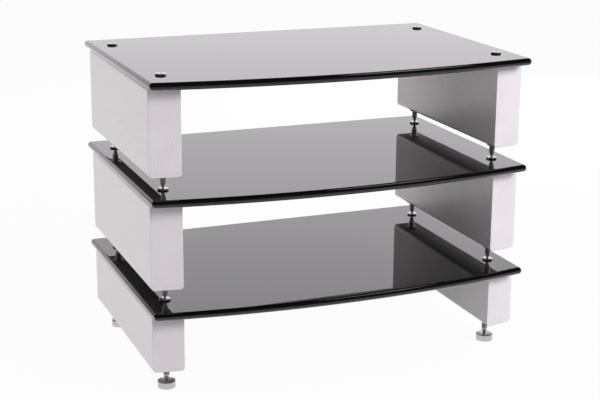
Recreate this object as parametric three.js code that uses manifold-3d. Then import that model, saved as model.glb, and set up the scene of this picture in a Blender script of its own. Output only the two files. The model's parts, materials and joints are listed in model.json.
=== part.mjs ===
// Audio equipment rack: three glass shelves on white wooden side blocks, each level standing on four
// spikes. Millimetres, +Z up, the front faces -Y, and the origin is the centre of the footprint on the
// floor.

import * as THREE from 'three';
import { mergeVertices } from 'three/addons/utils/BufferGeometryUtils.js';
import Module from 'manifold-3d';

const wasm = await Module();
wasm.setup();

// Glass shelf
const shelfWidth = 650;
const shelfSideDepth = 422;
const shelfBow = 30;
const shelfCornerRadius = 6;
const glassThickness = 12;
const glassEdgeFlat = 1;

// Side blocks. Their front ends are cut at the angle of the bowed glass above them
const blockWidth = 50;
const lowBlockHeight = 95.5;
const tallBlockHeight = 140.5;
const blockSideInset = 3.5;
const blockFrontInset = 29;
const blockRearInset = 27;
const blockEdgeRadius = 6;
const blockEndRadius = 1;

// Places of the screws and spikes on a block
const fixingFromBlockSide = 31;
const fixingFromBlockEnd = 38;

// Heights of the blocks above what they stand over
const floorGap = 40;
const levelGap = 28.5;

// Spike cup, the flat round head of the screw that holds the glass
const cupRadius = 9.2;
const cupHeight = 2.9;
const cupEdgeRadius = 1.2;
const cupDimpleRadius = 2.4;
const cupDimpleDepth = 1.2;
const screwRadius = 3;
const screwGrip = 22;
const screwEndChamfer = 0.8;

// Spike
const spikeRadius = 5;
const spikeLength = 56;
const spikeConeLength = 12;
const spikeTipRadius = 1.2;
const spikeEndChamfer = 1;
const spikeTravel = 10;

// Lock nut
const nutAcrossFlats = 17;
const nutHeight = 5;

// Floor pad
const padRadius = 14.5;
const padHeight = 11;
const padTopChamfer = 0.7;
const padFootChamfer = 0.5;
const padDimpleDepth = 1.5;
const padDimpleRadius = 3;

// The flat floor of the dimple, in cups and pads, that a point stands on
const dimpleFloorRadius = 1.8;

// Clearances, and how far a cut runs past the face it starts from
const boreClearance = 0.3;
const glassHoleClearance = 1;
const boreEndClearance = 0.8;
const cutOverrun = 1;

// Counts of the straight steps that stand for a round
const bowSteps = 20;
const cornerSteps = 3;
const glassEdgeSteps = 3;
const blockEdgeSteps = 3;
const blockEndSteps = 2;
const roundSteps = 16;
const cupSteps = 20;
const padSteps = 24;
const cupEdgeSteps = 3;
const nutSides = 6;

// Values worked out from the sizes above
const totalDepth = shelfSideDepth + shelfBow;
const frontY = -totalDepth / 2;
const rearY = totalDepth / 2;
const bowRadius = ((shelfWidth / 2) ** 2 + shelfBow ** 2) / (2 * shelfBow);
const bowCentreY = frontY + bowRadius;
const blockOuterX = shelfWidth / 2 - blockSideInset;
const blockInnerX = blockOuterX - blockWidth;
const blockCentreX = blockOuterX - blockWidth / 2;
const blockInnerFrontY = glassFrontY(blockInnerX) + blockFrontInset;
const blockOuterFrontY = glassFrontY(blockOuterX) + blockFrontInset;
const blockRearY = rearY - blockRearInset;
const fixingX = blockOuterX - fixingFromBlockSide;
const fixingRows = {
  front: blockFrontY(fixingX) + fixingFromBlockEnd,
  rear: blockRearY - fixingFromBlockEnd,
};
const sides = { left: -1, right: 1 };
const cupSeatHeight = cupHeight - cupDimpleDepth;
const padSeatHeight = padHeight - padDimpleDepth;

// Where the bowed front edge of the glass is, at a distance from the middle
function glassFrontY(x) {
  return bowCentreY - Math.sqrt(bowRadius ** 2 - x ** 2);
}

// Where the slanted front end of a block is, at a distance from the middle
function blockFrontY(x) {
  return blockInnerFrontY + (blockOuterFrontY - blockInnerFrontY) * (x - blockInnerX) / blockWidth;
}

// A closed three.js geometry as a solid for a cut
function toSolid(geometry) {
  const bare = geometry.clone();
  bare.deleteAttribute('normal');
  bare.deleteAttribute('uv');
  const merged = mergeVertices(bare);
  return new wasm.Manifold(new wasm.Mesh({
    numProp: 3,
    vertProperties: new Float32Array(merged.attributes.position.array),
    triVerts: new Uint32Array(merged.index.array),
  }));
}

// The solid that is left after a cut, as a three.js geometry
function toGeometry(solid) {
  const mesh = solid.getMesh();
  const geometry = new THREE.BufferGeometry();
  geometry.setAttribute('position', new THREE.BufferAttribute(mesh.vertProperties, 3));
  geometry.setIndex(new THREE.BufferAttribute(mesh.triVerts, 1));
  geometry.computeVertexNormals();
  return geometry;
}

// Points along an arc, from one angle to the other, both ends included
function arc(centreX, centreY, radius, fromAngle, toAngle, steps) {
  return Array.from({ length: steps + 1 }, (_, i) => {
    const angle = fromAngle + (toAngle - fromAngle) * i / steps;
    return new THREE.Vector2(centreX + radius * Math.cos(angle), centreY + radius * Math.sin(angle));
  });
}

// A turned piece: the profile gives radius and height from the axis at the bottom to the axis at the top
function turned(profile, steps) {
  const points = profile.map(([radius, height]) => new THREE.Vector2(radius, height));
  return new THREE.LatheGeometry(points, steps).rotateX(Math.PI / 2);
}

// An upright cylinder between two heights
function rod(x, y, radius, fromZ, toZ) {
  return new THREE.CylinderGeometry(radius, radius, toZ - fromZ, roundSteps)
    .rotateX(Math.PI / 2)
    .translate(x, y, (fromZ + toZ) / 2);
}

// Outline of the shelf seen from above: straight sides and rear, bowed front, small rounded corners
function shelfOutline() {
  const cornerX = shelfWidth / 2 - shelfCornerRadius;
  const frontCornerY = bowCentreY - Math.sqrt((bowRadius - shelfCornerRadius) ** 2 - cornerX ** 2);
  const rearCornerY = rearY - shelfCornerRadius;
  const bowHalfAngle = Math.atan2(cornerX, bowCentreY - frontCornerY);
  const down = -Math.PI / 2;
  return [
    ...arc(cornerX, rearCornerY, shelfCornerRadius, 0, Math.PI / 2, cornerSteps),
    ...arc(-cornerX, rearCornerY, shelfCornerRadius, Math.PI / 2, Math.PI, cornerSteps),
    ...arc(-cornerX, frontCornerY, shelfCornerRadius, -Math.PI, down - bowHalfAngle, cornerSteps),
    ...arc(0, bowCentreY, bowRadius, down - bowHalfAngle, down + bowHalfAngle, bowSteps).slice(1, -1),
    ...arc(cornerX, frontCornerY, shelfCornerRadius, down + bowHalfAngle, 0, cornerSteps),
  ];
}

// Glass shelf with its underside at height zero and a hole for each screw
function shelfGeometry() {
  const edgeRound = (glassThickness - glassEdgeFlat) / 2;
  const slab = new THREE.ExtrudeGeometry(new THREE.Shape(shelfOutline()), {
    depth: glassEdgeFlat,
    bevelThickness: edgeRound,
    bevelSize: edgeRound,
    bevelOffset: -edgeRound,
    bevelSegments: glassEdgeSteps,
  }).translate(0, 0, edgeRound);
  let glass = toSolid(slab);
  for (const side of Object.values(sides)) {
    for (const y of Object.values(fixingRows)) {
      const holeRadius = screwRadius + glassHoleClearance;
      const hole = rod(side * fixingX, y, holeRadius, -cutOverrun, glassThickness + cutOverrun);
      glass = glass.subtract(toSolid(hole));
    }
  }
  return toGeometry(glass);
}

// Outline of a block's end: a tall rectangle with its four long edges rounded
function blockOutline(height) {
  const cornerX = blockWidth / 2 - blockEdgeRadius;
  const topZ = height - blockEdgeRadius;
  const quarter = Math.PI / 2;
  return [
    ...arc(cornerX, topZ, blockEdgeRadius, 0, quarter, blockEdgeSteps),
    ...arc(-cornerX, topZ, blockEdgeRadius, quarter, 2 * quarter, blockEdgeSteps),
    ...arc(-cornerX, blockEdgeRadius, blockEdgeRadius, 2 * quarter, 3 * quarter, blockEdgeSteps),
    ...arc(cornerX, blockEdgeRadius, blockEdgeRadius, 3 * quarter, 4 * quarter, blockEdgeSteps),
  ];
}

// Moves the points of a block's front end onto its slant
function slantFront(beam) {
  const position = beam.attributes.position;
  for (let i = 0; i < position.count; i += 1) {
    if (position.getY(i) < 0) {
      const slant = blockFrontY(Math.abs(position.getX(i))) - blockInnerFrontY;
      position.setY(i, position.getY(i) + slant);
    }
  }
  return beam;
}

// Side block with its underside at height zero, bored from below for the spikes and from above for the
// screws
function blockGeometry(side, height, spikeExposure) {
  const beam = slantFront(new THREE.ExtrudeGeometry(new THREE.Shape(blockOutline(height)), {
    depth: blockRearY - blockInnerFrontY - 2 * blockEndRadius,
    bevelThickness: blockEndRadius,
    bevelSize: blockEndRadius,
    bevelOffset: -blockEndRadius,
    bevelSegments: blockEndSteps,
  }).rotateX(Math.PI / 2).translate(side * blockCentreX, blockRearY - blockEndRadius, 0));
  const spikeBoreDepth = spikeLength - spikeExposure + spikeTravel + boreEndClearance;
  const screwBoreDepth = screwGrip + boreEndClearance;
  let block = toSolid(beam);
  for (const y of Object.values(fixingRows)) {
    const x = side * fixingX;
    const spikeBore = rod(x, y, spikeRadius + boreClearance, -cutOverrun, spikeBoreDepth);
    const screwBore = rod(x, y, screwRadius + boreClearance, height - screwBoreDepth, height + cutOverrun);
    block = block.subtract(toSolid(spikeBore)).subtract(toSolid(screwBore));
  }
  return toGeometry(block);
}

// Screw with its round head on the glass at height zero and its shank below
function cupGeometry() {
  const screwEnd = -glassThickness - screwGrip;
  const edgeInset = cupRadius - cupEdgeRadius;
  const edgeZ = cupHeight - cupEdgeRadius;
  const edge = arc(edgeInset, edgeZ, cupEdgeRadius, 0, Math.PI / 2, cupEdgeSteps).map(({ x, y }) => [x, y]);
  return turned([
    [0, screwEnd],
    [screwRadius - screwEndChamfer, screwEnd],
    [screwRadius, screwEnd + screwEndChamfer],
    [screwRadius, 0],
    [cupRadius, 0],
    ...edge,
    [cupDimpleRadius, cupHeight],
    [dimpleFloorRadius, cupSeatHeight],
    [0, cupSeatHeight],
  ], cupSteps);
}

// Spike with its point at height zero
function spikeGeometry() {
  return turned([
    [0, 0],
    [spikeTipRadius, 0],
    [spikeRadius, spikeConeLength],
    [spikeRadius, spikeLength - spikeEndChamfer],
    [spikeRadius - spikeEndChamfer, spikeLength],
    [0, spikeLength],
  ], roundSteps);
}

// Six-sided nut with its lower face at height zero
function nutGeometry() {
  const cornerRadius = nutAcrossFlats / 2 / Math.cos(Math.PI / nutSides);
  const turn = 2 * Math.PI;
  const outline = new THREE.Shape(arc(0, 0, cornerRadius, 0, turn, nutSides).slice(0, -1));
  const bore = arc(0, 0, spikeRadius + boreClearance, 0, turn, roundSteps).slice(0, -1);
  outline.holes.push(new THREE.Path(bore));
  return new THREE.ExtrudeGeometry(outline, { depth: nutHeight, bevelEnabled: false });
}

// Floor pad with its underside at height zero
function padGeometry() {
  return turned([
    [0, 0],
    [padRadius - padFootChamfer, 0],
    [padRadius, padFootChamfer],
    [padRadius, padHeight - padTopChamfer],
    [padRadius - padTopChamfer, padHeight],
    [padDimpleRadius, padHeight],
    [dimpleFloorRadius, padSeatHeight],
    [0, padSeatHeight],
  ], padSteps);
}

// Black glass, polished
function glassMaterial() {
  return new THREE.MeshStandardMaterial({ color: 0x0a0b0c, roughness: 0.04, metalness: 0 });
}

// White-stained wood
function woodMaterial() {
  return new THREE.MeshStandardMaterial({ color: 0xe6e1e2, roughness: 0.5, metalness: 0 });
}

// Polished chrome plate
function chromeMaterial() {
  return new THREE.MeshStandardMaterial({ color: 0xd4d6d9, roughness: 0.08, metalness: 1 });
}

// Turned steel with a soft sheen
function steelMaterial() {
  return new THREE.MeshStandardMaterial({ color: 0xc3c3c4, roughness: 0.28, metalness: 1 });
}

// A named piece at its place
function piece(name, geometry, material, x, y, z) {
  const mesh = new THREE.Mesh(geometry, material);
  mesh.name = name;
  mesh.position.set(x, y, z);
  return mesh;
}

// Calls back for each of the four screw and spike places, with its name and place
function atEachFixing(callback) {
  for (const [row, y] of Object.entries(fixingRows)) {
    for (const [sideName, side] of Object.entries(sides)) {
      callback(`${row}_${sideName}`, side * fixingX, y);
    }
  }
}

// One level: spikes whose points stand at seatZ, nuts, two blocks whose underside is at blockZ, the
// shelf and its cups
function buildLevel(name, seatZ, blockZ, blockHeight) {
  const level = new THREE.Group();
  const shelfZ = blockZ + blockHeight;
  for (const [sideName, side] of Object.entries(sides)) {
    const block = blockGeometry(side, blockHeight, blockZ - seatZ);
    level.add(piece(`side_block_${sideName}_${name}`, block, woodMaterial(), 0, 0, blockZ));
  }
  level.add(piece(`glass_shelf_${name}`, shelfGeometry(), glassMaterial(), 0, 0, shelfZ));
  atEachFixing((place, x, y) => {
    const cupZ = shelfZ + glassThickness;
    level.add(piece(`spike_cup_${place}_${name}`, cupGeometry(), chromeMaterial(), x, y, cupZ));
    level.add(piece(`spike_${place}_${name}`, spikeGeometry(), chromeMaterial(), x, y, seatZ));
    level.add(piece(`lock_nut_${place}_${name}`, nutGeometry(), chromeMaterial(), x, y, blockZ - nutHeight));
  });
  return level;
}

// The whole rack, built from the floor up
function buildRack() {
  const rack = new THREE.Group();
  atEachFixing((place, x, y) => {
    rack.add(piece(`floor_pad_${place}`, padGeometry(), steelMaterial(), x, y, 0));
  });
  const levels = [
    { name: 'bottom', gap: floorGap, seatHeight: padSeatHeight, blockHeight: lowBlockHeight },
    { name: 'middle', gap: levelGap, seatHeight: cupSeatHeight, blockHeight: tallBlockHeight },
    { name: 'top', gap: levelGap, seatHeight: cupSeatHeight, blockHeight: tallBlockHeight },
  ];
  let standsOn = 0;
  for (const { name, gap, seatHeight, blockHeight } of levels) {
    const blockZ = standsOn + gap;
    rack.add(buildLevel(name, standsOn + seatHeight, blockZ, blockHeight));
    standsOn = blockZ + blockHeight + glassThickness;
  }
  return rack;
}

export default buildRack();
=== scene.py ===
"""Looks of the audio equipment rack: black glass shelves, white-stained wooden blocks and chrome spikes.

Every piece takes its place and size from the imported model. Lengths are in metres.
"""

import json
import math

import bmesh
import bpy
from mathutils import Matrix, Vector
from mathutils.geometry import tessellate_polygon


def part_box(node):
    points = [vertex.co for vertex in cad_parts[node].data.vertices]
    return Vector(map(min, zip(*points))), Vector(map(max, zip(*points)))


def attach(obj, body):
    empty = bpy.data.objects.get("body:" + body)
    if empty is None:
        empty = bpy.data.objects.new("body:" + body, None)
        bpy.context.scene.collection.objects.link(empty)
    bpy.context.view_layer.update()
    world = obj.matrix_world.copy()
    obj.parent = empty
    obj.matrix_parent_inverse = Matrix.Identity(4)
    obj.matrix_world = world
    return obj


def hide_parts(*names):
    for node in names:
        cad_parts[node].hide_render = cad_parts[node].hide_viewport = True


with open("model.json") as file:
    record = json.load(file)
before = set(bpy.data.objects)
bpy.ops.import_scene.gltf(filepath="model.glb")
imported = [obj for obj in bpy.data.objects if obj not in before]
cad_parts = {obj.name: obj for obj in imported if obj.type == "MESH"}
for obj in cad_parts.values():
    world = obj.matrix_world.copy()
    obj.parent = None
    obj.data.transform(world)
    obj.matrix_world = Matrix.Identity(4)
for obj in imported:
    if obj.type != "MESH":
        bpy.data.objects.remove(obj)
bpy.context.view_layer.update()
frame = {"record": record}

MM = 0.001
TURN = 2 * math.pi
QUARTER = math.pi / 2

LEVELS = ("bottom", "middle", "top")
SIDES = ("left", "right")
ROWS = ("front", "rear")
PLACES = [f"{row}_{side}" for row in ROWS for side in SIDES]

# Glass shelf
SHELF_BOW = 30 * MM
SHELF_CORNER = 6 * MM
GLASS_EDGE_FLAT = 0.6 * MM
GLASS_HOLE = 4 * MM
BOW_STEPS = 96
SHELF_CORNER_STEPS = 10
GLASS_EDGE_STEPS = 9

# Wooden block, whose front end follows the bow of the glass at this distance
BLOCK_FRONT_INSET = 29 * MM
BLOCK_EDGE = 6 * MM
BLOCK_END_EDGE = 0.8 * MM
BLOCK_EDGE_STEPS = 8
BLOCK_END_STEPS = 5
BORE_CLEARANCE = 0.3 * MM
BORE_END_CLEARANCE = 0.8 * MM
SPIKE_TRAVEL = 10 * MM

# Screw with the round head, whose dimple takes the point of a spike
SCREW_RADIUS = 3 * MM
SCREW_CHAMFER = 0.8 * MM
CUP_EDGE = 1.2 * MM
CUP_FOOT_EDGE = 0.3 * MM
CUP_DIMPLE_RADIUS = 2.4 * MM
CUP_DIMPLE_DEPTH = 1.2 * MM
CUP_EDGE_STEPS = 6
DIMPLE_FLOOR_RADIUS = 1.8 * MM

# Spike, with the share of its thread's pitch that is flat on the ridge and again in the groove
SPIKE_CONE = 12 * MM
SPIKE_TIP_RADIUS = 1.6 * MM
SPIKE_TIP_STEPS = 5
SPIKE_CHAMFER = 1 * MM
SPIKE_SHOULDER = 0.5 * MM
THREAD_PITCH = 1.5 * MM
THREAD_DEPTH = 0.6 * MM
THREAD_FLAT = 0.1
THREAD_TURNS = 27
THREAD_ROWS = 6

# Lock nut, whose round faces reach this share of the way to its flats
NUT_SIDES = 6
NUT_CHAMFER_SHARE = 0.97
NUT_BORE_CHAMFER = 0.5 * MM
NUT_CHAMFER_SLOPE = math.tan(math.radians(30))

# Floor pad
PAD_TOP_EDGE = 0.7 * MM
PAD_TOP_EDGE_STEPS = 5
PAD_FOOT_CHAMFER = 0.5 * MM
PAD_DIMPLE_RADIUS = 3 * MM
PAD_DIMPLE_DEPTH = 1.5 * MM

# Grain of each block: where its pith is from the block's middle and underside, how the pith leans
# sideways and upward along the block, and how far apart its rings are
GRAIN = {
    "left_top": (130 * MM, 0 * MM, (0.05, -0.10), 4.6 * MM),
    "left_middle": (-120 * MM, 140 * MM, (0.03, 0.04), 3.9 * MM),
    "left_bottom": (179 * MM, -62 * MM, (-0.04, 0.03), 4.8 * MM),
    "right_top": (260 * MM, 60 * MM, (-0.06, 0.12), 4.4 * MM),
    "right_middle": (-240 * MM, 80 * MM, (0.05, 0.05), 4.2 * MM),
    "right_bottom": (210 * MM, 40 * MM, (-0.05, -0.06), 4.7 * MM),
}

# Studio, where 1 is white: what polished surfaces show of its dim parts, and the light on matt surfaces
FRONT_ROOM = 0.04
REAR_ROOM = 0.02
MATT_LIGHT = 0.2

# Studio floor: half its width, the share of it that is plain white to the camera, and how far forward
# its mirror image stays white and fades
FLOOR_HALF_WIDTH = 30.0
FLOOR_GLOW = 0.97
WHITE_FLOOR_END = -0.35
WHITE_FLOOR_FADE = 0.5

# Steps round each kind of piece
HOLE_STEPS = 32
SPIKE_STEPS = 32
CUP_STEPS = 64
NUT_STEPS = 48
PAD_STEPS = 96

# Edges that turn by more than this are drawn sharp
SHARP_ANGLE = math.radians(28)

BODY_OF_NODE = {
    node: body
    for body, nodes in frame["record"]["behaviour"]["bodies"].items()
    for node in nodes
}


# Shapes


def arc(centre_u, centre_v, radius, start, end, steps):
    """Flat points on an arc, both ends included."""
    angles = [start + (end - start) * i / steps for i in range(steps + 1)]
    return [(centre_u + radius * math.cos(a), centre_v + radius * math.sin(a)) for a in angles]


def circle(centre, radius, height, steps):
    """Points round an upright axis."""
    ring = arc(centre.x, centre.y, radius, 0, TURN, steps)[:-1]
    return [Vector((x, y, height)) for x, y in ring]


class Solid:
    """One closed piece, made of loops of points and the faces between them."""

    def __init__(self):
        self.mesh = bmesh.new()

    def loop(self, points):
        return [self.mesh.verts.new(point) for point in points]

    def face(self, corners, smooth=True, finish=0):
        face = self.mesh.faces.new(corners)
        face.smooth = smooth
        face.material_index = finish

    def skin(self, first, second, skip=(), flat=()):
        """Faces between two loops. Those in skip are left out, and those in flat aren't shaded round."""
        count = len(first)
        for i in range(count):
            j = (i + 1) % count
            if i not in skip:
                self.face([first[i], first[j], second[j], second[i]], i not in flat)

    def stack(self, loops):
        for first, second in zip(loops, loops[1:]):
            self.skin(first, second)

    def cone(self, loop, point):
        """Faces from a loop to one point on the axis."""
        apex = self.mesh.verts.new(point)
        for first, second in zip(loop, loop[1:] + loop[:1]):
            self.face([first, second, apex])

    def panel(self, outline, holes, finish=0):
        """A flat face with holes in it."""
        loops = [outline, *holes]
        corners = [corner for loop in loops for corner in loop]
        for triangle in tessellate_polygon([[corner.co for corner in loop] for loop in loops]):
            self.face([corners[i] for i in triangle], False, finish)

    def bore(self, centre, radius, mouth, end):
        """The wall and the end of a blind hole. Returns the loop at its mouth."""
        rim = self.loop(circle(centre, radius, mouth, HOLE_STEPS))
        floor = self.loop(circle(centre, radius, end, HOLE_STEPS))
        self.skin(rim, floor)
        self.face(floor, False)
        return rim

    def piece(self, name, node, slot, finishes):
        """Makes the piece, which stands for a CAD node and moves with its body."""
        bmesh.ops.recalc_face_normals(self.mesh, faces=self.mesh.faces)
        data = bpy.data.meshes.new(name)
        self.mesh.to_mesh(data)
        self.mesh.free()
        shaded_round = [face.use_smooth for face in data.polygons]
        data.set_sharp_from_angle(angle=SHARP_ANGLE)
        data.polygons.foreach_set("use_smooth", shaded_round)
        for finish in finishes:
            data.materials.append(finish)
        piece = bpy.data.objects.new(name, data)
        bpy.context.scene.collection.objects.link(piece)
        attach(piece, BODY_OF_NODE[node])
        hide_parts(node)


def turned(centre, profile, steps):
    """A solid turned about an upright axis. The profile starts and ends on the axis."""
    solid = Solid()
    loops = [solid.loop(circle(centre, radius, height, steps)) for radius, height in profile[1:-1]]
    solid.stack(loops)
    solid.cone(loops[0], (centre.x, centre.y, profile[0][1]))
    solid.cone(loops[-1], (centre.x, centre.y, profile[-1][1]))
    return solid


def measured(node):
    """Lowest corner, highest corner and middle of a CAD node."""
    low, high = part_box(node)
    return low, high, (low + high) / 2


def bow(low, high):
    """Radius of a shelf's bowed front, and where its centre is behind the front."""
    radius = (high.x**2 + SHELF_BOW**2) / (2 * SHELF_BOW)
    return radius, low.y + radius


def shelf_outline(low, high, inset):
    """Outline of a shelf from above, drawn in by an inset: straight sides, bowed front, round corners."""
    bow_radius, bow_centre = bow(low, high)
    corner_x = high.x - SHELF_CORNER
    corner_y = bow_centre - math.sqrt((bow_radius - SHELF_CORNER) ** 2 - corner_x**2)
    swing = math.atan2(corner_x, bow_centre - corner_y)
    radius = SHELF_CORNER - inset
    rear_y = high.y - SHELF_CORNER
    steps = SHELF_CORNER_STEPS
    front_bow = arc(0, bow_centre, bow_radius - inset, -QUARTER - swing, -QUARTER + swing, BOW_STEPS)
    return (
        arc(corner_x, rear_y, radius, 0, QUARTER, steps)
        + arc(-corner_x, rear_y, radius, QUARTER, 2 * QUARTER, steps)
        + arc(-corner_x, corner_y, radius, -2 * QUARTER, -QUARTER - swing, steps)
        + front_bow[1:-1]
        + arc(corner_x, corner_y, radius, -QUARTER + swing, 0, steps)
    )


def build_shelf(level, finishes):
    """Glass shelf with a half-round edge and a hole for each screw."""
    node = f"glass_shelf_{level}"
    low, high, _ = measured(node)
    edge = (high.z - low.z - GLASS_EDGE_FLAT) / 2
    angles = [QUARTER * i / GLASS_EDGE_STEPS for i in range(GLASS_EDGE_STEPS + 1)]
    lower = [(edge * (1 - math.sin(a)), low.z + edge * (1 - math.cos(a))) for a in angles]
    upper = [(inset, low.z + high.z - height) for inset, height in reversed(lower)]
    solid = Solid()
    loops = [
        solid.loop([(x, y, height) for x, y in shelf_outline(low, high, inset)])
        for inset, height in lower + upper
    ]
    solid.stack(loops)
    under, over = [], []
    for place in PLACES:
        centre = measured(f"spike_cup_{place}_{level}")[2]
        under.append(solid.loop(circle(centre, GLASS_HOLE, low.z, HOLE_STEPS)))
        over.append(solid.loop(circle(centre, GLASS_HOLE, high.z, HOLE_STEPS)))
        solid.skin(under[-1], over[-1])
    solid.panel(loops[0], under, finish=1)
    solid.panel(loops[-1], over)
    solid.piece(f"bowed_shelf_{level}", node, "black_glass", finishes)


def slanted_front(side, level):
    """Where the front end of a block is, as a function of the distance from the middle of the rack."""
    low, high, _ = measured(f"side_block_{side}_{level}")
    bow_radius, bow_centre = bow(*measured(f"glass_shelf_{level}")[:2])
    across = sorted((abs(low.x), abs(high.x)))
    inner, outer = (bow_centre - math.sqrt(bow_radius**2 - x**2) + BLOCK_FRONT_INSET for x in across)
    return lambda x: inner + (outer - inner) * (abs(x) - across[0]) / (across[1] - across[0])


def block_outline(low, high, inset):
    """Outline of a block's end, drawn in by an inset, with its four corners rounded."""
    left, right = low.x + BLOCK_EDGE, high.x - BLOCK_EDGE
    bottom, top = low.z + BLOCK_EDGE, high.z - BLOCK_EDGE
    radius = BLOCK_EDGE - inset
    steps = BLOCK_EDGE_STEPS
    return (
        arc(right, top, radius, 0, QUARTER, steps)
        + arc(left, top, radius, QUARTER, 2 * QUARTER, steps)
        + arc(left, bottom, radius, 2 * QUARTER, 3 * QUARTER, steps)
        + arc(right, bottom, radius, 3 * QUARTER, 4 * QUARTER, steps)
    )


def build_block(side, level, finish):
    """Wooden block with rounded edges, bored from below for its spikes and from above for its screws."""
    node = f"side_block_{side}_{level}"
    low, high, _ = measured(node)
    angles = [QUARTER * i / BLOCK_END_STEPS for i in range(BLOCK_END_STEPS + 1)]
    end = [(BLOCK_END_EDGE * (1 - math.sin(a)), BLOCK_END_EDGE * (1 - math.cos(a))) for a in angles]
    front_y = slanted_front(side, level)
    solid = Solid()
    front_loops = [
        solid.loop([(x, front_y(x) + depth, z) for x, z in block_outline(low, high, inset)])
        for inset, depth in end
    ]
    rear_loops = [
        solid.loop([(x, high.y - depth, z) for x, z in block_outline(low, high, inset)])
        for inset, depth in end
    ]
    solid.stack(front_loops)
    solid.stack(rear_loops)
    solid.face(front_loops[0], False)
    solid.face(rear_loops[0], False)
    face_after = [(i + 1) * (BLOCK_EDGE_STEPS + 1) - 1 for i in range(4)]
    top_face, outer_face, under_face, inner_face = face_after
    first, second = front_loops[-1], rear_loops[-1]
    solid.skin(first, second, skip=(top_face, under_face), flat=(outer_face, inner_face))
    spike_mouths, screw_mouths = [], []
    for row in ROWS:
        spike_low, spike_high, spike = measured(f"spike_{row}_{side}_{level}")
        cup_low, _, cup = measured(f"spike_cup_{row}_{side}_{level}")
        spike_end = spike_high.z + SPIKE_TRAVEL + BORE_END_CLEARANCE
        spike_radius = spike_high.x - spike.x + BORE_CLEARANCE
        screw_end = cup_low.z - BORE_END_CLEARANCE
        spike_mouths.append(solid.bore(spike, spike_radius, low.z, spike_end))
        screw_mouths.append(solid.bore(cup, SCREW_RADIUS + BORE_CLEARANCE, high.z, screw_end))
    for at, mouths in ((under_face, spike_mouths), (top_face, screw_mouths)):
        solid.panel([first[at], first[at + 1], second[at + 1], second[at]], mouths)
    solid.piece(f"wood_block_{side}_{level}", node, "white_wood", [finish])


def build_cup(place, level, finish):
    """Screw whose round head holds the glass and has a dimple for the point of a spike."""
    node = f"spike_cup_{place}_{level}"
    low, high, centre = measured(node)
    glass_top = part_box(f"glass_shelf_{level}")[1].z
    radius = high.x - centre.x
    seat = high.z - CUP_DIMPLE_DEPTH
    edge = arc(radius - CUP_EDGE, high.z - CUP_EDGE, CUP_EDGE, 0, QUARTER, CUP_EDGE_STEPS)
    profile = [
        (0, low.z),
        (SCREW_RADIUS - SCREW_CHAMFER, low.z),
        (SCREW_RADIUS, low.z + SCREW_CHAMFER),
        (SCREW_RADIUS, glass_top),
        (radius - CUP_FOOT_EDGE, glass_top),
        (radius, glass_top + CUP_FOOT_EDGE),
        *edge,
        (CUP_DIMPLE_RADIUS, high.z),
        (DIMPLE_FLOOR_RADIUS, seat),
        (0, seat),
    ]
    turned(centre, profile, CUP_STEPS).piece(f"round_screw_{place}_{level}", node, "chrome_plate", [finish])


def thread_loop(centre, radius, height, start, end):
    """Points round the thread at one height. Its ridge climbs one pitch in each turn."""
    points = []
    fade = min(1, (height - start) / THREAD_PITCH, (end - height) / THREAD_PITCH)
    for i in range(SPIKE_STEPS):
        share = i / SPIKE_STEPS
        phase = ((height - start) / THREAD_PITCH - share) % 1
        groove = min(1, max(0, (abs(2 * phase - 1) - THREAD_FLAT) / (1 - 2 * THREAD_FLAT)))
        reach = radius - THREAD_DEPTH * groove * fade
        x = centre.x + reach * math.cos(TURN * share)
        y = centre.y + reach * math.sin(TURN * share)
        points.append(Vector((x, y, height)))
    return points


def build_spike(place, level, finish):
    """Threaded stud with a cone point, whose tip is rounded and touches the seat in the middle."""
    node = f"spike_{place}_{level}"
    low, high, centre = measured(node)
    radius = high.x - centre.x
    shoulder = low.z + SPIKE_CONE
    thread_start = shoulder + SPIKE_SHOULDER
    thread_end = thread_start + THREAD_TURNS * THREAD_PITCH
    rows = THREAD_TURNS * THREAD_ROWS
    heights = [thread_start + (thread_end - thread_start) * i / rows for i in range(rows + 1)]
    solid = Solid()
    slope = math.atan((radius - SPIKE_TIP_RADIUS) / SPIKE_CONE)
    tip = arc(0, low.z + SPIKE_TIP_RADIUS, SPIKE_TIP_RADIUS, -QUARTER, -slope, SPIKE_TIP_STEPS)
    plain = [*tip[1:], (radius, shoulder)]
    end = [(radius, high.z - SPIKE_CHAMFER), (radius - SPIKE_CHAMFER, high.z)]
    loops = [solid.loop(circle(centre, reach, height, SPIKE_STEPS)) for reach, height in plain]
    for height in heights:
        loops.append(solid.loop(thread_loop(centre, radius, height, thread_start, thread_end)))
    loops += [solid.loop(circle(centre, reach, height, SPIKE_STEPS)) for reach, height in end]
    solid.stack(loops)
    solid.cone(loops[0], (centre.x, centre.y, low.z))
    solid.cone(loops[-1], (centre.x, centre.y, high.z))
    solid.piece(f"threaded_spike_{place}_{level}", node, "chrome_plate", [finish])


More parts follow.
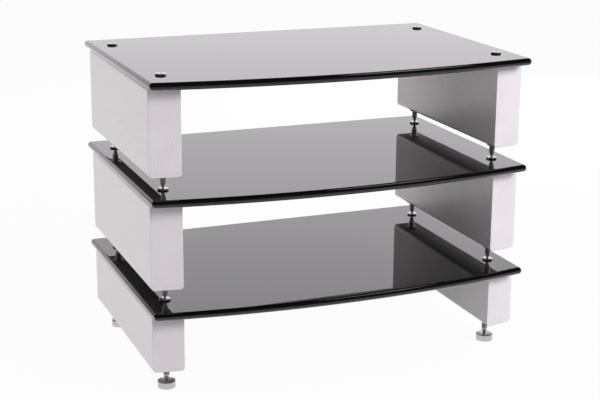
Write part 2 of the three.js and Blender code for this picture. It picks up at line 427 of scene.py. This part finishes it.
def build_nut(place, level, finish):
    """Six-sided nut with chamfered corners."""
    node = f"lock_nut_{place}_{level}"
    low, high, centre = measured(node)
    flat_radius = high.y - centre.y
    spike = measured(f"spike_{place}_{level}")
    bore = spike[1].x - spike[2].x + BORE_CLEARANCE
    face_radius = flat_radius * NUT_CHAMFER_SHARE
    sector = TURN / NUT_SIDES
    top_edge, low_edge = [], []
    for i in range(NUT_STEPS):
        angle = TURN * i / NUT_STEPS
        reach = flat_radius / math.cos(angle % sector - sector / 2)
        drop = (reach - face_radius) * NUT_CHAMFER_SLOPE
        x = centre.x + reach * math.cos(angle)
        y = centre.y + reach * math.sin(angle)
        top_edge.append((x, y, high.z - drop))
        low_edge.append((x, y, low.z + drop))
    solid = Solid()
    loops = [
        solid.loop(circle(centre, bore + NUT_BORE_CHAMFER, low.z, NUT_STEPS)),
        solid.loop(circle(centre, bore, low.z + NUT_BORE_CHAMFER, NUT_STEPS)),
        solid.loop(circle(centre, bore, high.z - NUT_BORE_CHAMFER, NUT_STEPS)),
        solid.loop(circle(centre, bore + NUT_BORE_CHAMFER, high.z, NUT_STEPS)),
        solid.loop(circle(centre, face_radius, high.z, NUT_STEPS)),
        solid.loop(top_edge),
        solid.loop(low_edge),
        solid.loop(circle(centre, face_radius, low.z, NUT_STEPS)),
    ]
    solid.stack(loops + loops[:1])
    solid.piece(f"chamfered_nut_{place}_{level}", node, "chrome_plate", [finish])


def build_pad(place, finish):
    """Round pad that a bottom spike stands on."""
    node = f"floor_pad_{place}"
    low, high, centre = measured(node)
    radius = high.x - centre.x
    seat = high.z - PAD_DIMPLE_DEPTH
    edge = arc(radius - PAD_TOP_EDGE, high.z - PAD_TOP_EDGE, PAD_TOP_EDGE, 0, QUARTER, PAD_TOP_EDGE_STEPS)
    profile = [
        (0, low.z),
        (radius - PAD_FOOT_CHAMFER, low.z),
        (radius, low.z + PAD_FOOT_CHAMFER),
        *edge,
        (PAD_DIMPLE_RADIUS, high.z),
        (DIMPLE_FLOOR_RADIUS, seat),
        (0, seat),
    ]
    turned(centre, profile, PAD_STEPS).piece(f"turned_pad_{place}", node, "turned_steel", [finish])


# Finishes


class Wire:
    """An output in a node tree. Arithmetic on it adds Math nodes."""

    def __init__(self, recipe, socket):
        self.recipe = recipe
        self.socket = socket

    def maths(self, operation, *values):
        sockets = dict(enumerate(values))
        return self.recipe.node("ShaderNodeMath", {"operation": operation}, sockets)

    def __add__(self, other):
        return self.maths("ADD", self, other)

    def __sub__(self, other):
        return self.maths("SUBTRACT", self, other)

    def __rsub__(self, other):
        return self.maths("SUBTRACT", other, self)

    def __mul__(self, other):
        return self.maths("MULTIPLY", self, other)

    def __truediv__(self, other):
        return self.maths("DIVIDE", self, other)

    def __pow__(self, other):
        return self.maths("POWER", self, other)

    __radd__ = __add__
    __rmul__ = __mul__

    def absolute(self):
        return self.maths("ABSOLUTE", self)

    def fraction(self):
        return self.maths("FRACT", self)

    def clamped(self):
        return self.maths("MINIMUM", self.maths("MAXIMUM", self, 0), 1)

    def span(self, start, end):
        """0 below start, 1 above end, and even in between."""
        return ((self - start) / (end - start)).clamped()


class Recipe:
    """The nodes of a material or of the world."""

    def __init__(self, owner):
        self.owner = owner
        owner.use_nodes = True
        self.tree = owner.node_tree
        self.tree.nodes.clear()

    def node(self, kind, settings=None, sockets=None, output=0):
        """One node, with its settings, and its inputs as numbers or wires."""
        made = self.tree.nodes.new(kind)
        for key, value in (settings or {}).items():
            setattr(made, key, value)
        for key, value in (sockets or {}).items():
            if isinstance(value, Wire):
                self.tree.links.new(value.socket, made.inputs[key])
            else:
                made.inputs[key].default_value = value
        return Wire(self, made.outputs[output]) if made.outputs else None

    def place(self):
        return self.node("ShaderNodeTexCoord", output="Object")

    def ray(self, kind):
        """1 for rays of this kind and 0 for others."""
        return self.node("ShaderNodeLightPath", output=kind)

    def split(self, vector):
        """X, Y and Z of a vector."""
        first = self.node("ShaderNodeSeparateXYZ", None, {"Vector": vector})
        outputs = first.socket.node.outputs
        return [Wire(self, outputs[axis]) for axis in ("X", "Y", "Z")]

    def noise(self, lengths, detail=2.0):
        """Noise whose features have these lengths along X, Y and Z."""
        scale = [1 / length for length in lengths]
        stretched = self.node(
            "ShaderNodeVectorMath", {"operation": "MULTIPLY"}, {0: self.place(), 1: scale}
        )
        return self.node("ShaderNodeTexNoise", None, {"Vector": stretched, "Scale": 1.0, "Detail": detail})

    def blend(self, share, first, second):
        """One colour turning into another."""
        sockets = {"Factor": share, "A": first, "B": second}
        mix = self.tree.nodes.new("ShaderNodeMix")
        mix.data_type = "RGBA"
        named = {socket.identifier: socket for socket in mix.inputs}
        for key, value in sockets.items():
            socket = named[f"{key}_Float" if key == "Factor" else f"{key}_Color"]
            if isinstance(value, Wire):
                self.tree.links.new(value.socket, socket)
            else:
                socket.default_value = value
        return Wire(self, {socket.identifier: socket for socket in mix.outputs}["Result_Color"])

    def bump(self, height, distance, strength=1.0):
        sockets = {"Height": height, "Distance": distance, "Strength": strength}
        return self.node("ShaderNodeBump", None, sockets)

    def cover(self, surface):
        """Puts a shader on the surface and returns the material."""
        self.node("ShaderNodeOutputMaterial", None, {"Surface": surface})
        return self.owner

    def finish(self, sockets):
        """Puts a finish on the surface and returns the material."""
        return self.cover(self.node("ShaderNodeBsdfPrincipled", None, sockets))


def tone(red, green, blue):
    """A colour written as it shows on a screen, from 0 to 255, by the sRGB curve."""
    def linear(value):
        share = value / 255
        return share / 12.92 if share <= 0.04045 else ((share + 0.055) / 1.055) ** 2.4
    return (linear(red), linear(green), linear(blue), 1)


def black_glass():
    """Polished black glass. Only the lower half of its edge is painted a lighter green: the glass's own
    green tint, plus painted light where light from below gets into the edge.
    """
    glass = Recipe(bpy.data.materials.new("polished_black_glass"))
    normal = glass.node("ShaderNodeTexCoord", output="Normal")
    _, _, upward = glass.split(normal)
    # Painted light: faces turned downward, the lower half of the edge, get a lighter green. It stands for
    # the glass's green tint lit from below.
    lit_lower_edge = (upward * -1).span(0.05, 0.7)
    smears = glass.noise((90 * MM, 60 * MM, 90 * MM), detail=4.0)
    return glass.finish({
        # Black, with the lighter green painted on the lower half of the edge as light from below.
        "Base Color": glass.blend(lit_lower_edge, tone(7, 7, 8), tone(26, 30, 14)),
        "Roughness": 0.02 + smears.span(0.45, 0.75) * 0.03,
        "IOR": 1.5,
        "Coat Weight": 1.0,
        "Coat Roughness": 0.02,
        "Coat IOR": 1.2,
    })


def black_backing():
    """Black paint on the underside of the glass."""
    paint = Recipe(bpy.data.materials.new("black_backing_paint"))
    flow = paint.noise((2 * MM, 2 * MM, 2 * MM), detail=3.0)
    return paint.finish({
        "Base Color": tone(14, 14, 15),
        "Roughness": 0.22 + flow * 0.08,
        "Normal": paint.bump(flow, 0.02 * MM, 0.4),
    })


def white_stained_wood(name, pith, lean, spacing):
    """Open-grain wood under a thin white stain. Its rings lie round a pith that leans along the block."""
    wood = Recipe(bpy.data.materials.new(name))
    x, y, z = wood.split(wood.place())
    wander = wood.noise((130 * MM, 420 * MM, 130 * MM), detail=1.0)
    ripple = wood.noise((14 * MM, 90 * MM, 14 * MM), detail=2.0)
    from_pith_x = x - (y * lean[0] + pith[0])
    from_pith_z = z - (y * lean[1] + pith[1])
    distance = (from_pith_x * from_pith_x + from_pith_z * from_pith_z) ** 0.5
    rings = (distance + wander * (24 * MM) + ripple * (2.5 * MM)) / spacing
    phase = rings.fraction()
    late_wood = phase ** 4 * (1 - phase.span(0.94, 1.0))
    pores = wood.noise((0.45 * MM, 9 * MM, 0.45 * MM), detail=2.0).span(0.56, 0.68)
    pores_in_rings = pores * (1 - phase.span(0.2, 0.55))
    fibres = wood.noise((0.6 * MM, 40 * MM, 0.6 * MM), detail=3.0)
    clouds = wood.noise((40 * MM, 160 * MM, 40 * MM), detail=2.0)
    stain = wood.blend(clouds.span(0.3, 0.7), tone(231, 226, 228), tone(226, 220, 222))
    _, along, upward = wood.split(wood.node("ShaderNodeTexCoord", output="Normal"))
    end_grain = along.absolute().span(0.5, 0.9)
    underside = (upward * -1).span(0.5, 0.9)
    figure = (late_wood * 0.5 + pores_in_rings * 0.3) * (0.4 + end_grain * 0.4)
    grain = (figure + fibres.span(0.5, 0.8) * 0.15).clamped()
    colour = wood.blend(grain, stain, tone(202, 196, 199))
    height = 1 - (pores_in_rings * 0.7 + late_wood * 0.3)
    return wood.finish({
        "Base Color": colour,
        "Roughness": 0.4 + grain * 0.16 + underside * 0.3,
        "Coat Weight": 1.0 - underside,
        "Coat Roughness": 0.25,
        "Normal": wood.bump(height, 0.1 * MM, 0.5),
    })


def chrome_plate():
    """Polished chrome with faint handling marks."""
    chrome = Recipe(bpy.data.materials.new("polished_chrome_plate"))
    marks = chrome.noise((1.5 * MM, 1.5 * MM, 4 * MM), detail=4.0)
    return chrome.finish({
        "Base Color": tone(214, 215, 218),
        "Metallic": 1.0,
        "Roughness": 0.06 + marks.span(0.5, 0.8) * 0.08,
    })


def spike_steel():
    """Plated steel of the threaded spikes, duller than the chrome."""
    steel = Recipe(bpy.data.materials.new("plated_spike_steel"))
    marks = steel.noise((1.2 * MM, 1.2 * MM, 3 * MM), detail=4.0)
    return steel.finish({
        "Base Color": tone(182, 180, 175),
        "Metallic": 0.7,
        "Roughness": 0.26 + marks.span(0.4, 0.8) * 0.12,
    })


def turned_steel():
    """Steel pads with the fine circular lines that the lathe leaves."""
    steel = Recipe(bpy.data.materials.new("turned_plated_steel"))
    front = measured("floor_pad_front_right")[2]
    rear = measured("floor_pad_rear_right")[2]
    x, y, z = steel.split(steel.place())
    across = x.absolute() - front.x
    from_front, from_rear = y - front.y, y - rear.y
    along = y.maths("MINIMUM", from_front.absolute(), from_rear.absolute())
    radius = (across * across + along * along) ** 0.5
    lines = steel.node(
        "ShaderNodeTexNoise",
        {"noise_dimensions": "1D"},
        {"W": (radius + z) / (0.22 * MM), "Scale": 1.0, "Detail": 2.0},
    )
    return steel.finish({
        "Base Color": tone(190, 188, 188),
        "Metallic": 1.0,
        "Roughness": 0.14 + lines * 0.1,
        "Normal": steel.bump(lines, 0.01 * MM, 0.5),
    })


# Stage


def pale_floor():
    """Floor that reads white to the camera and in reflections, and keeps the object's shadow.

    Reflections lose its white well in front of the rack, where the studio is dim.
    """
    floor = Recipe(bpy.data.materials.new("pale_studio_floor"))
    _, rearward, _ = floor.split(floor.place())
    mirrored = floor.ray("Is Glossy Ray") + floor.ray("Is Transmission Ray")
    white = rearward.span(WHITE_FLOOR_END - WHITE_FLOOR_FADE, WHITE_FLOOR_END)
    seen = floor.ray("Is Camera Ray") + mirrored * white
    pale = floor.blend(seen, tone(190, 190, 190), tone(246, 245, 246))
    matt = floor.node("ShaderNodeBsdfDiffuse", None, {"Color": pale})
    glow = floor.node("ShaderNodeEmission", None, {"Color": tone(255, 254, 255), "Strength": 1.0})
    return floor.cover(floor.node("ShaderNodeMixShader", None, {0: seen * FLOOR_GLOW, 1: matt, 2: glow}))


def build_floor():
    half = FLOOR_HALF_WIDTH
    solid = bmesh.new()
    corners = ((-half, -half, 0), (half, -half, 0), (half, half, 0), (-half, half, 0))
    solid.faces.new([solid.verts.new(corner) for corner in corners])
    data = bpy.data.meshes.new("studio_floor")
    solid.to_mesh(data)
    solid.free()
    data.materials.append(pale_floor())
    floor = bpy.data.objects.new("studio_floor", data)
    bpy.context.scene.collection.objects.link(floor)


def build_world(ambient):
    """The studio round the rack. The camera sees white, and matt surfaces get a soft even light.

    Polished surfaces show a white sweep low at the rear and a dim room elsewhere.
    """
    studio = Recipe(bpy.data.worlds.new("studio"))
    bpy.context.scene.world = studio.owner
    direction = studio.node("ShaderNodeTexCoord", output="Generated")
    rightward, rearward, upward = studio.split(direction)
    beside = (rightward + rearward * 0.4).span(-0.1, 0.03)
    sweep = (1 - upward.span(0.38, 0.42)) * rearward.span(-0.35, 0.05) * beside
    dim = REAR_ROOM + (1 - rearward.span(-0.5, 0.0)) * (FRONT_ROOM - REAR_ROOM)
    room = dim + sweep * (1 - dim)
    seen = studio.ray("Is Camera Ray") + studio.ray("Is Transmission Ray")
    unseen = ambient + studio.ray("Is Glossy Ray") * (room - ambient)
    strength = unseen + seen * (1 - unseen)
    colour = {"Color": tone(255, 252, 255), "Strength": strength}
    background = studio.node("ShaderNodeBackground", None, colour)
    studio.node("ShaderNodeOutputWorld", None, {"Surface": background})


def build_soft_box(name, place, aim, width, power, colour=(1, 1, 1), mirrored=False):
    """Square soft lamp that looks at a point. Polished surfaces show it only where it is mirrored."""
    data = bpy.data.lights.new(name, "AREA")
    data.energy = power
    data.color = colour
    data.shape = "SQUARE"
    data.size = width
    lamp = bpy.data.objects.new(name, data)
    lamp.visible_glossy = mirrored
    lamp.location = place
    lamp.rotation_euler = (Vector(aim) - Vector(place)).to_track_quat("-Z", "Y").to_euler()
    bpy.context.scene.collection.objects.link(lamp)


def build_ceiling_light(height, spread, strength):
    """Weak light from straight above, with very soft shadows. Polished surfaces don't show it."""
    data = bpy.data.lights.new("ceiling_light", "SUN")
    data.energy = strength
    data.angle = spread
    lamp = bpy.data.objects.new("ceiling_light", data)
    lamp.visible_glossy = False
    lamp.location.z = height
    bpy.context.scene.collection.objects.link(lamp)


def build_lamps():
    rack_middle = (0, 0, 0.3)
    rack_front = (0, -0.1, 0.25)
    build_soft_box(
        "front_right_soft_box",
        place=(1.5, -2.4, 1.8), aim=rack_front, width=1.0, power=77, colour=(0.99, 0.98, 1.03),
    )
    build_soft_box("front_left_soft_box", place=(-1.5, -1.9, 0.9), aim=rack_front, width=0.9, power=6)
    build_soft_box(
        "left_soft_box",
        place=(-2.2, 0.7, 0.5), aim=rack_middle, width=0.6, power=11, colour=(1, 0.91, 0.945),
    )
    build_soft_box("rear_right_soft_box", place=(1.6, 2.0, 0.9), aim=rack_middle, width=0.9, power=38)
    build_ceiling_light(height=3, spread=math.radians(70), strength=0.3)
    build_soft_box(
        "high_soft_box", place=(0.9, -0.35, 2.0), aim=rack_middle, width=0.5, power=3, mirrored=True
    )


def build_camera():
    """Camera at the photograph's angle, solved from the rack's edges in the photograph."""
    place = Vector((-0.8625, -2.1350, 0.8988))
    yaw, pitch, roll = (math.radians(angle) for angle in (22.126, -14.488, 0.463))
    focal_px, centre_px, photo_px = 1381.1, (307.0, 168.6), (600, 400)
    forward = Vector((math.sin(yaw) * math.cos(pitch), math.cos(yaw) * math.cos(pitch), math.sin(pitch)))
    level_right = Vector((math.cos(yaw), -math.sin(yaw), 0))
    level_up = level_right.cross(forward)
    right = level_right * math.cos(roll) + level_up * math.sin(roll)
    up = level_up * math.cos(roll) - level_right * math.sin(roll)
    data = bpy.data.cameras.new("photo_camera")
    data.sensor_width = 36.0
    data.lens = focal_px / photo_px[0] * data.sensor_width
    data.shift_x = (photo_px[0] / 2 - centre_px[0]) / photo_px[0]
    data.shift_y = (centre_px[1] - photo_px[1] / 2) / photo_px[0]
    camera = bpy.data.objects.new("photo_camera", data)
    axes = Matrix((right, up, -forward)).transposed().to_4x4()
    camera.matrix_world = Matrix.Translation(place) @ axes
    bpy.context.scene.collection.objects.link(camera)
    bpy.context.scene.camera = camera


def build_rack():
    glass = [black_glass(), black_backing()]
    chrome = chrome_plate()
    spike = spike_steel()
    steel = turned_steel()
    for place in PLACES:
        build_pad(place, steel)
    for level in LEVELS:
        build_shelf(level, glass)
        for side in SIDES:
            low, _, middle = measured(f"side_block_{side}_{level}")
            from_middle, from_low, lean, spacing = GRAIN[f"{side}_{level}"]
            pith = (middle.x + from_middle, low.z + from_low)
            wood = white_stained_wood(f"white_stained_wood_{side}_{level}", pith, lean, spacing)
            build_block(side, level, wood)
        for place in PLACES:
            build_cup(place, level, chrome)
            build_spike(place, level, spike)
            build_nut(place, level, spike)


build_camera()
build_rack()
build_floor()
build_world(MATT_LIGHT)
build_lamps()

bpy.context.scene.view_settings.view_transform = "Standard"
